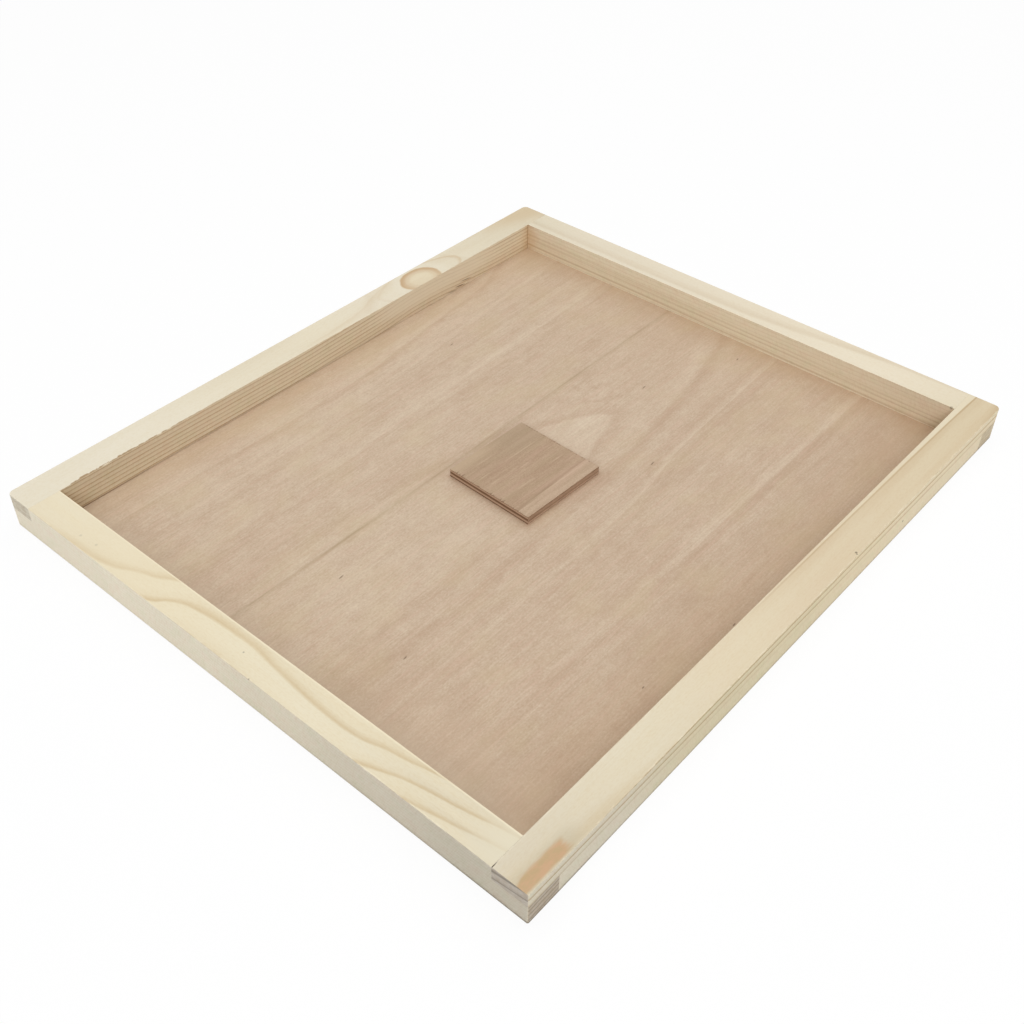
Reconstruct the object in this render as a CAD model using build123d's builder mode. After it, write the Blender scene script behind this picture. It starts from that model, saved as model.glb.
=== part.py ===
"""Inner cover of a ten-frame beehive.

A half-lapped pine frame holds a thin plywood panel in a rebate on its underside.
A loose plywood square lies on the panel and covers the feed hole.
The origin is the middle of the underside, +X to the right, +Y to the back, +Z up, in millimetres.
"""
import os

from build123d import *

# Outside of the frame, which sits on a common European ten-frame hive body
frame_width = 430.0
frame_length = 500.0

# Planed pine rails, half-lapped at the corners, with only the outside arrises eased
# The lower laps are the thicker ones, because the panel's rebate is cut out of them
rail_width = 23.0
rail_height = 25.0
lap_height = 14.5
shoulder_gap = 0.05
edge_easing = 0.5

# Outside corners, rounded over once the frame is glued; the front right one is left nearly sharp
corner_round = 4.0
sharp_corner_round = 1.0

# Plywood panel, let into a rebate that is routed round the underside of the frame
panel_thickness = 3.0
panel_clearance = 0.5
rebate_width = 10.0
rebate_corner_radius = 8.0

# Feed hole and the loose square that covers it, which lies slightly turned and forward of the middle
feed_hole_diameter = 50.0
cover_overlap = 10.0
cover_thickness = 6.0
cover_turn = -2.0
cover_shift = -1.3

# Narrow-crown staples, two driven up through each corner lap
corner_staple_crown = 6.0
corner_staple_wire = 1.2
corner_staple_tip_cover = 6.0

# Finer staples that hold the panel up in its rebate
panel_staple_crown = 10.0
panel_staple_wire = 0.9
panel_staple_bite = 11.0
side_staple_count = 5
end_staple_count = 4

# Places worked out from the sizes above
half_width = frame_width / 2
half_length = frame_length / 2
inner_half_width = half_width - rail_width
inner_half_length = half_length - rail_width
side_rail_middle = half_width - rail_width / 2
end_rail_middle = half_length - rail_width / 2
shoulder_reach = rail_width + shoulder_gap
cover_side = feed_hole_diameter + 2 * cover_overlap


def staple_slot(crown, leg, wire):
    """The square-cornered slot that a driven staple lies in, with its crown flush at z = 0."""
    with BuildPart() as slot:
        with BuildSketch(Plane.XZ):
            Rectangle(crown, leg, align=(Align.CENTER, Align.MIN))
            with Locations((0, wire)):
                Rectangle(crown - 2 * wire, leg - wire, align=(Align.CENTER, Align.MIN), mode=Mode.SUBTRACT)
        extrude(amount=wire / 2, both=True)
    return slot.part


def bent_staple(crown, leg, wire):
    """The staple itself, with its two bends rounded and its legs cut to chisel points."""
    with BuildPart() as staple:
        add(staple_slot(crown, leg, wire))
        across = staple.edges().filter_by(Axis.Y)
        bends = across.group_by(Axis.Z)[0]
        fillet(bends, radius=wire / 2)
        tips = staple.edges().filter_by(Axis.Y).group_by(Axis.Z)[-1].sort_by(Axis.X)
        chamfer([tips[0], tips[-1]], length=wire / 2)
    return staple.part


# Staple sizes and places, on the strip of rail outside the rebate and along the middle of the rebate
corner_leg = rail_height - corner_staple_tip_cover
panel_leg = panel_thickness + panel_staple_bite
outer_strip_middle = (rail_width - rebate_width) / 2
lap_side_x = half_width - outer_strip_middle
lap_side_y = inner_half_length + corner_staple_crown
lap_end_x = inner_half_width + corner_staple_crown
lap_end_y = half_length - outer_strip_middle
corner_staple_places = []
for x_sign in (-1, 1):
    for y_sign in (-1, 1):
        corner_staple_places.append(Location((x_sign * lap_side_x, y_sign * lap_side_y, 0), (0, 0, 90)))
        corner_staple_places.append(Location((x_sign * lap_end_x, y_sign * lap_end_y, 0)))

side_staple_x = inner_half_width + rebate_width / 2
end_staple_y = inner_half_length + rebate_width / 2
side_staple_pitch = 2 * inner_half_length / side_staple_count
end_staple_pitch = 2 * inner_half_width / end_staple_count
panel_staple_places = []
for i in range(side_staple_count):
    y = (i - (side_staple_count - 1) / 2) * side_staple_pitch
    panel_staple_places.append(Location((-side_staple_x, y, 0), (0, 0, 90)))
    panel_staple_places.append(Location((side_staple_x, y, 0), (0, 0, 90)))
for i in range(end_staple_count):
    x = (i - (end_staple_count - 1) / 2) * end_staple_pitch
    panel_staple_places.append(Location((x, -end_staple_y, 0)))
    panel_staple_places.append(Location((x, end_staple_y, 0)))

# All slots in one cutter, taken out of every piece of wood that the staples pass through
with BuildPart() as staple_cutter:
    with Locations(*corner_staple_places):
        add(staple_slot(corner_staple_crown, corner_leg, corner_staple_wire))
    with Locations(*panel_staple_places):
        add(staple_slot(panel_staple_crown, panel_leg, panel_staple_wire))

# The rebate, with the round corners that the router bit leaves
with BuildPart() as rebate_cutter:
    with BuildSketch():
        RectangleRounded(
            2 * (inner_half_width + rebate_width),
            2 * (inner_half_length + rebate_width),
            rebate_corner_radius,
        )
    extrude(amount=panel_thickness)


def side_rail(front_round, rear_round):
    """The left rail, which runs the full length and carries the upper laps."""
    with BuildPart() as rail:
        with BuildSketch() as plan:
            with Locations((-side_rail_middle, 0)):
                Rectangle(rail_width, frame_length)
            fillet(plan.vertices().group_by(Axis.Y)[0].sort_by(Axis.X)[0], radius=front_round)
            fillet(plan.vertices().group_by(Axis.Y)[-1].sort_by(Axis.X)[0], radius=rear_round)
        extrude(amount=rail_height)
        with BuildSketch():
            with Locations((-side_rail_middle, -half_length)):
                Rectangle(rail_width, shoulder_reach, align=(Align.CENTER, Align.MIN))
            with Locations((-side_rail_middle, half_length)):
                Rectangle(rail_width, shoulder_reach, align=(Align.CENTER, Align.MAX))
        extrude(amount=lap_height, mode=Mode.SUBTRACT)
        outside_top = rail.faces().sort_by(Axis.Z)[-1].edges().sort_by(Axis.X)[:-1]
        fillet(outside_top, radius=edge_easing)
        outside_bottom = rail.faces().sort_by(Axis.Z)[0].edges().sort_by(Axis.X)[0]
        fillet(outside_bottom, radius=edge_easing)
        add(rebate_cutter.part, mode=Mode.SUBTRACT)
        add(staple_cutter.part, mode=Mode.SUBTRACT)
    return rail.part


def end_rail(left_round, right_round):
    """The front rail, which runs the full width and carries the lower laps."""
    with BuildPart() as rail:
        with BuildSketch() as plan:
            with Locations((0, -end_rail_middle)):
                Rectangle(frame_width, rail_width)
            fillet(plan.vertices().group_by(Axis.X)[0].sort_by(Axis.Y)[0], radius=left_round)
            fillet(plan.vertices().group_by(Axis.X)[-1].sort_by(Axis.Y)[0], radius=right_round)
        extrude(amount=rail_height)
        with BuildSketch(Plane.XY.offset(lap_height)):
            with Locations((-half_width, -end_rail_middle)):
                Rectangle(shoulder_reach, rail_width, align=(Align.MIN, Align.CENTER))
            with Locations((half_width, -end_rail_middle)):
                Rectangle(shoulder_reach, rail_width, align=(Align.MAX, Align.CENTER))
        extrude(amount=rail_height - lap_height, mode=Mode.SUBTRACT)
        outside_bottom = rail.faces().sort_by(Axis.Z)[0].edges().sort_by(Axis.Y)[:-1]
        fillet(outside_bottom, radius=edge_easing)
        outside_top = rail.faces().sort_by(Axis.Z)[-1].edges().sort_by(Axis.Y)[0]
        fillet(outside_top, radius=edge_easing)
        add(rebate_cutter.part, mode=Mode.SUBTRACT)
        add(staple_cutter.part, mode=Mode.SUBTRACT)
    return rail.part


# The four rails, of which the right and rear ones are mirror images
with BuildPart() as left_rail:
    add(side_rail(corner_round, corner_round))

with BuildPart() as right_rail:
    mirror(side_rail(sharp_corner_round, corner_round), about=Plane.YZ)

with BuildPart() as front_rail:
    add(end_rail(corner_round, sharp_corner_round))

with BuildPart() as rear_rail:
    mirror(end_rail(corner_round, corner_round), about=Plane.XZ)

# Plywood panel, flush with the underside of the rails
with BuildPart() as panel:
    with BuildSketch():
        RectangleRounded(
            2 * (inner_half_width + rebate_width - panel_clearance),
            2 * (inner_half_length + rebate_width - panel_clearance),
            rebate_corner_radius,
        )
        Circle(feed_hole_diameter / 2, mode=Mode.SUBTRACT)
    extrude(amount=panel_thickness)
    add(staple_cutter.part, mode=Mode.SUBTRACT)

# Loose square of thicker plywood, resting on the panel
with BuildPart() as feed_hole_cover:
    with BuildSketch(Plane.XY.offset(panel_thickness)):
        with Locations((0, cover_shift)):
            Rectangle(cover_side, cover_side, rotation=cover_turn)
    extrude(amount=cover_thickness)

with BuildPart() as corner_staples:
    with Locations(*corner_staple_places):
        add(bent_staple(corner_staple_crown, corner_leg, corner_staple_wire))

with BuildPart() as panel_staples:
    with Locations(*panel_staple_places):
        add(bent_staple(panel_staple_crown, panel_leg, panel_staple_wire))

# One file per piece
os.makedirs("parts", exist_ok=True)
front_rail.part.label = "front_rail"
export_step(front_rail.part, "parts/front_rail.step")
rear_rail.part.label = "rear_rail"
export_step(rear_rail.part, "parts/rear_rail.step")
left_rail.part.label = "left_rail"
export_step(left_rail.part, "parts/left_rail.step")
right_rail.part.label = "right_rail"
export_step(right_rail.part, "parts/right_rail.step")
panel.part.label = "panel"
export_step(panel.part, "parts/panel.step")
feed_hole_cover.part.label = "feed_hole_cover"
export_step(feed_hole_cover.part, "parts/feed_hole_cover.step")
corner_staples.part.label = "corner_staples"
export_step(corner_staples.part, "parts/corner_staples.step")
panel_staples.part.label = "panel_staples"
export_step(panel_staples.part, "parts/panel_staples.step")
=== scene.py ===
"""Looks of the hive inner cover: pine rails round a plywood panel, with a square cover over its hole."""

import math
from dataclasses import dataclass

import bpy
from mathutils import Matrix, Vector


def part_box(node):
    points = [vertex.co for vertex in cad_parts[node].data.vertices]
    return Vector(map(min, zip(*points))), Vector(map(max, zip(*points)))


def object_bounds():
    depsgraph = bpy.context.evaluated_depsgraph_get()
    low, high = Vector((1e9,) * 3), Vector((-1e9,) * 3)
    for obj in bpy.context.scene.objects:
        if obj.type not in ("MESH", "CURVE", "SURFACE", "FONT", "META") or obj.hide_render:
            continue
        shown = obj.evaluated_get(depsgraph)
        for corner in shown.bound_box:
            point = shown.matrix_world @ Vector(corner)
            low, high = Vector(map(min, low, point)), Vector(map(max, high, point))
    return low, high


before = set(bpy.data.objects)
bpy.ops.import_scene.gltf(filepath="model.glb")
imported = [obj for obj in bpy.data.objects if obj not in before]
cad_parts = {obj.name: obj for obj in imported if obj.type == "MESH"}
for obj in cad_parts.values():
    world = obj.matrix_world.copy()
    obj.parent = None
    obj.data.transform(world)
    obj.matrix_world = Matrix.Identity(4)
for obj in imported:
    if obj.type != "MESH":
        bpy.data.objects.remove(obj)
cad_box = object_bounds()

# Sizes of the solids, in millimetres
millimetres_per_metre = 1000.0
half_width, half_length, rim_top = [reach * millimetres_per_metre for reach in cad_box[1]]
left_rail_low, left_rail_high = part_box("left_rail")
rail_width = (left_rail_high[0] - left_rail_low[0]) * millimetres_per_metre
wall_end = half_length - rail_width
panel_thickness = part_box("panel")[1][2] * millimetres_per_metre
cover_low, cover_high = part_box("feed_hole_cover")
cover_x = (cover_low[0] + cover_high[0]) / 2.0 * millimetres_per_metre
cover_y = (cover_low[1] + cover_high[1]) / 2.0 * millimetres_per_metre
cover_top = cover_high[2] * millimetres_per_metre
cover_thickness = (cover_high[2] - cover_low[2]) * millimetres_per_metre

# The cover's side and turn, which its box doesn't give
cover_half_side = 35.0
cover_turn = math.radians(-2.0)


def srgb(red, green, blue):
    """A colour as it looks on screen, 0 to 255, turned into the linear colour a shader wants."""
    def linear(level):
        level = level / 255.0
        return level / 12.92 if level <= 0.04045 else ((level + 0.055) / 1.055) ** 2.4
    return (linear(red), linear(green), linear(blue), 1.0)


class Wire:
    """A value on its way through a material. Arithmetic on it adds Math nodes."""

    def __init__(self, graph, socket):
        self.graph = graph
        self.socket = socket

    def __add__(self, other):
        return self.graph.math("ADD", self, other)

    def __radd__(self, other):
        return self.graph.math("ADD", other, self)

    def __sub__(self, other):
        return self.graph.math("SUBTRACT", self, other)

    def __rsub__(self, other):
        return self.graph.math("SUBTRACT", other, self)

    def __mul__(self, other):
        return self.graph.math("MULTIPLY", self, other)

    def __truediv__(self, other):
        return self.graph.math("DIVIDE", self, other)

    def __abs__(self):
        return self.graph.math("ABSOLUTE", self)

    def __pow__(self, other):
        return self.graph.math("POWER", self, other)


class Graph:
    """One material, with short ways to add nodes to it and join them. Lengths are in millimetres."""

    def __init__(self, name):
        self.material = bpy.data.materials.new(name)
        self.material.use_nodes = True
        self.nodes = self.material.node_tree.nodes
        self.links = self.material.node_tree.links
        self.nodes.clear()
        self.shader = self.nodes.new("ShaderNodeBsdfPrincipled")
        output = self.nodes.new("ShaderNodeOutputMaterial")
        self.links.new(self.shader.outputs["BSDF"], output.inputs["Surface"])
        coordinates = self.nodes.new("ShaderNodeTexCoord")
        scaled = self.nodes.new("ShaderNodeVectorMath")
        scaled.operation = "SCALE"
        scaled.inputs["Scale"].default_value = millimetres_per_metre
        self.links.new(coordinates.outputs["Object"], scaled.inputs[0])
        self.place = Wire(self, scaled.outputs["Vector"])
        self.x, self.y, self.z = self.split(self.place)
        normal = Wire(self, coordinates.outputs["Normal"])
        self.normal_x, self.normal_y, self.normal_z = self.split(normal)

    def put(self, socket, value):
        """Joins a wire to an input, or sets a plain number or colour on it."""
        if isinstance(value, Wire):
            self.links.new(value.socket, socket)
        else:
            socket.default_value = value

    def math(self, operation, *values):
        node = self.nodes.new("ShaderNodeMath")
        node.operation = operation
        for socket, value in zip(node.inputs, values):
            self.put(socket, value)
        return Wire(self, node.outputs[0])

    def split(self, vector):
        node = self.nodes.new("ShaderNodeSeparateXYZ")
        self.put(node.inputs[0], vector)
        return [Wire(self, node.outputs[axis]) for axis in range(3)]

    def join(self, x, y, z):
        node = self.nodes.new("ShaderNodeCombineXYZ")
        for socket, value in zip(node.inputs, (x, y, z)):
            self.put(socket, value)
        return Wire(self, node.outputs[0])

    def noise(self, size, detail=2.0, roughness=0.5, seed=0.0, place=None):
        """Noise from 0 to 1 about 0.5, whose blotches are about as big as size along x, y and z."""
        divided = self.nodes.new("ShaderNodeVectorMath")
        divided.operation = "DIVIDE"
        self.put(divided.inputs[0], place or self.place)
        divided.inputs[1].default_value = size
        node = self.nodes.new("ShaderNodeTexNoise")
        node.noise_dimensions = "4D"
        node.inputs["Scale"].default_value = 1.0
        node.inputs["Detail"].default_value = detail
        node.inputs["Roughness"].default_value = roughness
        node.inputs["W"].default_value = seed
        self.links.new(divided.outputs["Vector"], node.inputs["Vector"])
        return Wire(self, node.outputs[0])

    def smooth(self, value, low, high):
        """Goes softly from 0 where the value is at low to 1 where it is at high."""
        node = self.nodes.new("ShaderNodeMapRange")
        node.interpolation_type = "SMOOTHSTEP"
        self.put(node.inputs["Value"], value)
        rising = high > low
        node.inputs["From Min"].default_value = low if rising else high
        node.inputs["From Max"].default_value = high if rising else low
        node.inputs["To Min"].default_value = 0.0 if rising else 1.0
        node.inputs["To Max"].default_value = 1.0 if rising else 0.0
        return Wire(self, node.outputs["Result"])

    def curve(self, value, points):
        """A smooth curve through (position, height) points, read at the value."""
        low, high = points[0][0], points[-1][0]
        floor = min(height for _, height in points)
        ceiling = max(height for _, height in points)
        node = self.nodes.new("ShaderNodeFloatCurve")
        node.mapping.extend = "HORIZONTAL"
        line = node.mapping.curves[0]
        while len(line.points) < len(points):
            line.points.new(0.5, 0.5)
        for point, (position, height) in zip(line.points, points):
            point.location = ((position - low) / (high - low), (height - floor) / (ceiling - floor))
        node.mapping.update()
        self.put(node.inputs["Value"], (value - low) / (high - low))
        return Wire(self, node.outputs["Value"]) * (ceiling - floor) + floor

    def ramp(self, value, stops):
        """A grey level that goes straight from stop to stop, each a (position, level)."""
        node = self.nodes.new("ShaderNodeValToRGB")
        elements = node.color_ramp.elements
        while len(elements) < len(stops):
            elements.new(0.5)
        for element, (position, level) in zip(elements, stops):
            element.position = position
            element.color = (level, level, level, 1.0)
        self.put(node.inputs["Fac"], value)
        return Wire(self, node.outputs["Color"])

    def mix(self, share, first, second, blend="MIX"):
        """The first colour, changed to the second by its share."""
        node = self.nodes.new("ShaderNodeMix")
        node.data_type = "RGBA"
        node.blend_type = blend
        self.put(node.inputs["Factor"], share)
        colour_inputs = [socket for socket in node.inputs if socket.type == "RGBA"]
        self.put(colour_inputs[0], first)
        self.put(colour_inputs[1], second)
        return Wire(self, next(socket for socket in node.outputs if socket.type == "RGBA"))

    def spot(self, across, along, radius_across, radius_along, edge=0.5):
        """A soft oval that is 1 in its middle and 0 from its rim out."""
        reach = ((across / radius_across) ** 2.0 + (along / radius_along) ** 2.0) ** 0.5
        return self.smooth(reach, 1.0, 1.0 - edge)

    def finish(self, colour, roughness, height, relief):
        """Joins colour, roughness and a bump of the given relief, in millimetres, to the shader."""
        bump = self.nodes.new("ShaderNodeBump")
        bump.inputs["Distance"].default_value = relief / millimetres_per_metre
        self.put(bump.inputs["Height"], height)
        self.links.new(bump.outputs["Normal"], self.shader.inputs["Normal"])
        self.put(self.shader.inputs["Base Color"], colour)
        self.put(self.shader.inputs["Roughness"], roughness)
        self.shader.inputs["Specular IOR Level"].default_value = 0.3
        return self.material


@dataclass
class Rail:
    """One rail's wood. Lengths are in millimetres, and depth is measured down from the rim.

    The top, outer and inner tones are each a row of places along the rail with the colour there.
    """
    name: str
    runs_along_x: bool
    outward: float  # the side its outer face looks to, 1 or -1
    ring_spacing: float
    first_ring: float  # depth of one late-wood line where the rings don't swell
    bark_up: bool  # whether the rings were laid towards the top
    swell: tuple  # (place along the rail, how far the rings rise there)
    tilt: tuple  # (place along the rail, further rise for each millimetre outward)
    seed: float
    tones: dict
    ring_strength: dict
    contact_shadow: tuple  # (place along the rail, how strong the painted contact shadow on its lower outer arris is there)
    rings_fade: float = 100.0  # depth at which the rings fade away
    marks: tuple = ()  # functions that add this rail's own stains and chips


class Pine:
    """What the shaders of one rail share: its own directions, its rings and which way a face looks."""

    def __init__(self, rail):
        g = Graph(rail.name + "_pine")
        self.graph = g
        self.rail = rail
        if rail.runs_along_x:
            self.along, sideways, end, side = g.x, g.y, g.normal_x, g.normal_y
            middle = half_length - rail_width / 2.0
        else:
            self.along, sideways, end, side = g.y, g.x, g.normal_y, g.normal_x
            middle = half_width - rail_width / 2.0
        self.across = sideways * rail.outward - middle
        self.depth = rim_top - g.z
        self.top_face = g.smooth(g.normal_z, 0.3, 0.8)
        self.end_face = g.smooth(abs(end), 0.6, 0.9)
        self.outer_face = g.smooth(side * rail.outward, 0.5, 0.9)
        self.inner_face = g.smooth(side * rail.outward, -0.5, -0.9)

    def noise(self, along, across, tall, detail=2.0, roughness=0.5, seed=0.0):
        """Noise stretched along the rail."""
        size = (along, across, tall) if self.rail.runs_along_x else (across, along, tall)
        return self.graph.noise(size, detail, roughness, self.rail.seed * 10.0 + seed)

    def tone(self, face):
        """The colour of one kind of face, which changes along the rail."""
        stops = self.rail.tones[face]
        colour = stops[0][1]
        for (here, _), (there, next_colour) in zip(stops, stops[1:]):
            colour = self.graph.mix(self.graph.smooth(self.along, here, there), colour, next_colour)
        return colour

    def face_level(self, levels):
        """A number that differs between the top, inner, outer and end faces."""
        level = levels["top"] + self.inner_face * (levels["inner"] - levels["top"])
        level = level + self.outer_face * (levels["outer"] - levels["top"])
        return level + self.end_face * (levels["end"] - levels["top"])

    def late_wood(self):
        """The growth rings: 0 in early wood, rising to 1 at each late line and ending there sharply."""
        g, rail = self.graph, self.rail
        lift = g.curve(self.along, rail.swell) + self.across * g.curve(self.along, rail.tilt)
        waver = (self.noise(120.0, 10.0, 8.0, seed=1.0) - 0.5) * 0.5
        ripple = (self.noise(22.0, 5.0, 4.0, seed=2.0) - 0.5) * 0.2
        ring = (self.depth + lift + waver + ripple - rail.first_ring) / rail.ring_spacing
        part = g.math("FRACT", ring)
        if rail.bark_up:
            part = 1.0 - part
        late = g.ramp(part, ((0.0, 0.6), (0.05, 0.0), (0.45, 0.0), (0.75, 0.2), (0.95, 1.0), (1.0, 0.6)))
        own = self.noise(300.0, 12.0, rail.ring_spacing * 0.8, seed=3.0)
        shown = g.smooth(self.depth, rail.rings_fade + 4.0, rail.rings_fade - 4.0)
        return late * shown * (0.6 + g.smooth(own, 0.3, 0.65) * 0.4)

    def saw_marks(self):
        """Fine slanted strokes that the saw leaves on the sides."""
        slant = 0.45 * self.rail.outward
        stroke = self.graph.join(self.along - self.depth * slant, self.across, self.depth)
        seed = self.rail.seed * 10.0 + 6.0
        return self.graph.noise((0.6, 3.0, 6.0), detail=2.0, seed=seed, place=stroke)


fibre_tone = srgb(246, 240, 228)
saw_tone = srgb(234, 226, 212)
arris_wear_and_highlight_tone = srgb(240, 229, 204)
contact_shadow_tone = srgb(128, 116, 100)
green_cast = srgb(247, 252, 246)
pink_cast = srgb(254, 247, 247)


def arris_wear_highlight_and_shadow(pine, g, colour, fuzz):
    """The upper arrises, pale in places partly from wear and partly from painted highlight, and painted
    contact shadow along the outer lower one.
    """
    half = rail_width / 2.0
    inner_arris = g.smooth(half + pine.across + pine.depth, 1.4, 0.4)
    outer_arris = g.smooth(half - pine.across + pine.depth, 1.4, 0.4)
    # Pale upper arrises: partly wear, partly painted highlight
    worn_or_lit = g.smooth(pine.noise(7.0, 1.0, 1.0, detail=3.0, seed=13.0), 0.5, 0.62)
    colour = g.mix((inner_arris + outer_arris) * worn_or_lit * 0.5, colour, arris_wear_and_highlight_tone)
    # Painted contact shadow along the outer lower arris
    contact_shade = g.smooth(pine.depth + (fuzz - 0.5) * 2.0, rim_top - 3.0, rim_top - 0.4)
    outside = pine.outer_face + pine.end_face
    return g.mix(contact_shade * outside * g.curve(pine.along, pine.rail.contact_shadow), colour, contact_shadow_tone)


def rail_wood(rail):
    """Pine whose growth rings lie in layers, so tops, walls and end grain all show the same rings."""
    pine = Pine(rail)
    g, tones = pine.graph, rail.tones
    late = pine.late_wood()
    saw = pine.saw_marks()
    fibre = pine.noise(38.0, 0.8, 0.7, detail=4.0, roughness=0.6, seed=4.0)
    fuzz = pine.noise(2.4, 0.9, 0.9, detail=2.0, seed=12.0)
    cloud = pine.noise(90.0, 9.0, 9.0, detail=3.0, seed=5.0)
    pores = g.noise((0.35, 0.35, 0.35), detail=2.0, seed=6.0)
    blotch = g.noise((9.0, 9.0, 7.0), detail=3.0, seed=rail.seed * 10.0 + 15.0)
    mottle = g.noise((3.0, 3.0, 2.2), detail=3.0, roughness=0.6, seed=rail.seed * 10.0 + 16.0)
    sides = pine.outer_face + pine.inner_face

    colour = g.mix(g.smooth(cloud, 0.35, 0.65) * 0.5, pine.tone("top"), tones["cloud"])
    colour = g.mix(pine.outer_face, colour, pine.tone("outer"))
    colour = g.mix(pine.inner_face, colour, pine.tone("inner"))
    colour = g.mix(pine.end_face, colour, tones["end"])
    colour = g.mix(late * pine.face_level(rail.ring_strength), colour, tones["late"], "MULTIPLY")
    colour = g.mix(g.smooth(fibre, 0.45, 0.8) * 0.35, colour, fibre_tone, "MULTIPLY")
    colour = g.mix(g.smooth(fuzz, 0.4, 0.75) * 0.4, colour, fibre_tone, "MULTIPLY")
    colour = g.mix(g.smooth(saw, 0.4, 0.7) * sides * 0.3, colour, saw_tone, "MULTIPLY")
    colour = g.mix(g.smooth(blotch, 0.5, 0.68) * sides * 0.5, colour, green_cast, "MULTIPLY")
    colour = g.mix(g.smooth(blotch, 0.5, 0.32) * sides * 0.5, colour, pink_cast, "MULTIPLY")
    colour = g.mix(pine.end_face * g.smooth(pores, 0.45, 0.7) * 0.3, colour, tones["late"], "MULTIPLY")
    colour = g.mix(pine.end_face * g.smooth(mottle, 0.4, 0.65) * 0.35, colour, tones["late"], "MULTIPLY")
    colour = arris_wear_highlight_and_shadow(pine, g, colour, fuzz)
    for mark in rail.marks:
        colour = mark(pine, g, colour)
    height = fibre * 0.5 - late * 0.5 + pine.end_face * pores * 0.6 + saw * sides * 0.5
    return g.finish(colour, 0.62 + fibre * 0.2, height, 0.1)


def heart_stain(pine, g, colour):
    """The orange-brown patch on the right rail's top by the near corner, and the grey shade round it."""
    ragged = (pine.noise(6.0, 1.3, 1.3, detail=3.0, seed=7.0) - 0.5) * 3.0
    shade = g.smooth(pine.across, -4.0, 4.0) * g.smooth(pine.along, -201.0, -216.0)
    rounding = g.smooth(pine.along, -245.0, -250.0) * 1.6
    inside = g.smooth(pine.across + ragged * 0.7 - rounding, 0.8, 4.0)
    inside = inside * g.smooth(pine.across + ragged * 0.4, 11.3, 9.5)
    near_end = g.smooth(pine.along + ragged * 2.5, -213.5, -219.5)
    patchy = g.smooth(pine.noise(7.0, 3.0, 3.0, detail=4.0, roughness=0.6, seed=17.0), 0.35, 0.65)
    stain = g.mix(patchy, srgb(191, 161, 118), srgb(203, 162, 124))
    colour = g.mix(shade * pine.top_face * 0.45, colour, srgb(194, 183, 156))
    return g.mix(inside * near_end * pine.top_face * 0.85, colour, stain)


def pale_ends(pine, g, colour):
    """The ends of the front rail's top, where the rings run out into pale wood."""
    ragged = (pine.noise(8.0, 4.0, 4.0, detail=3.0, seed=20.0) - 0.5) * 14.0
    right_end = g.smooth(pine.along + ragged, 160.0, 190.0)
    colour = g.mix(right_end * pine.top_face * 0.75, colour, srgb(227, 218, 193))
    left_end = g.smooth(pine.along + ragged, -50.0, -105.0)
    return g.mix(left_end * pine.top_face * 0.35, colour, srgb(233, 220, 190))


def open_joint(pine, g, colour):
    """The crack that opens where the right rail's top meets the front rail, at the very edge."""
    crack = g.spot(pine.along + 249.5, pine.across + 11.3, 5.0, 0.55, edge=0.8)
    return g.mix(crack * pine.top_face * 0.95, colour, srgb(66, 56, 44))


def inner_edge_ring(pine, g, colour):
    """The dark ring along the far half of the right rail's inner edge, with pale wood inside it."""
    line = g.curve(pine.along, ((-250, -14.0), (-20, -11.0), (100, -9.6), (180, -8.6), (250, -7.0)))
    beyond = pine.across - line + (pine.noise(40.0, 2.0, 2.0, seed=9.0) - 0.5) * 0.8
    late = g.ramp(beyond / 8.0, ((0.0, 0.0), (0.05, 1.0), (0.12, 0.9), (0.2, 0.3), (1.0, 0.12)))
    pale = g.smooth(beyond, 0.3, -0.5) * g.smooth(pine.along, 0.0, 220.0)
    colour = g.mix(pale * pine.top_face * 0.8, colour, srgb(230, 218, 191))
    shown = late * pine.top_face * g.smooth(pine.along, -60.0, 40.0)
    return g.mix(shown * (0.6 + g.smooth(pine.along, 150.0, 230.0) * 0.2), colour, srgb(186, 159, 120))


def knot_rings(pine, g, colour):
    """The brown oval on the left rail's top, over a hidden knot, and a faint wider ring."""
    knot_along, knot_across = 106.5, -4.2
    waver = (pine.noise(12.0, 7.0, 7.0, detail=3.0, seed=14.0) - 0.5) * 0.17

    def reach(length, width):
        return g.math("SQRT", ((pine.along - knot_along) / length) ** 2.0
                      + ((pine.across - knot_across) / width) ** 2.0) + waver

    oval = reach(18.3, 13.6)
    inside = g.smooth(oval, 1.06, 0.96)
    rim = g.ramp(oval, ((0.0, 0.0), (0.3, 0.0), (0.4, 0.06), (0.43, 0.02), (0.55, 0.16), (0.68, 0.42),
                        (0.71, 0.38), (0.84, 0.8), (0.94, 1.0)))
    halo = g.smooth(oval, 0.98, 1.1) * g.smooth(oval, 1.6, 1.2)
    colour = g.mix(halo * pine.top_face * 0.3, colour, srgb(235, 228, 209))
    colour = g.mix(inside * pine.top_face * 0.35, colour, srgb(228, 208, 170))
    outer_side = 0.7 + g.smooth(pine.across, knot_across - 8.0, knot_across + 6.0) * 0.3
    colour = g.mix(inside * rim * outer_side * pine.top_face * 0.85, colour, srgb(194, 160, 120))
    wider = reach(43.0, 16.6)
    ring = (g.smooth(wider, 0.88, 1.0) ** 1.5) * g.smooth(wider, 1.05, 0.99)
    far_side = 0.3 + g.smooth(pine.along, knot_along, knot_along + 25.0) * 0.7
    return g.mix(ring * far_side * pine.top_face * 0.45, colour, srgb(203, 173, 132))


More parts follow.
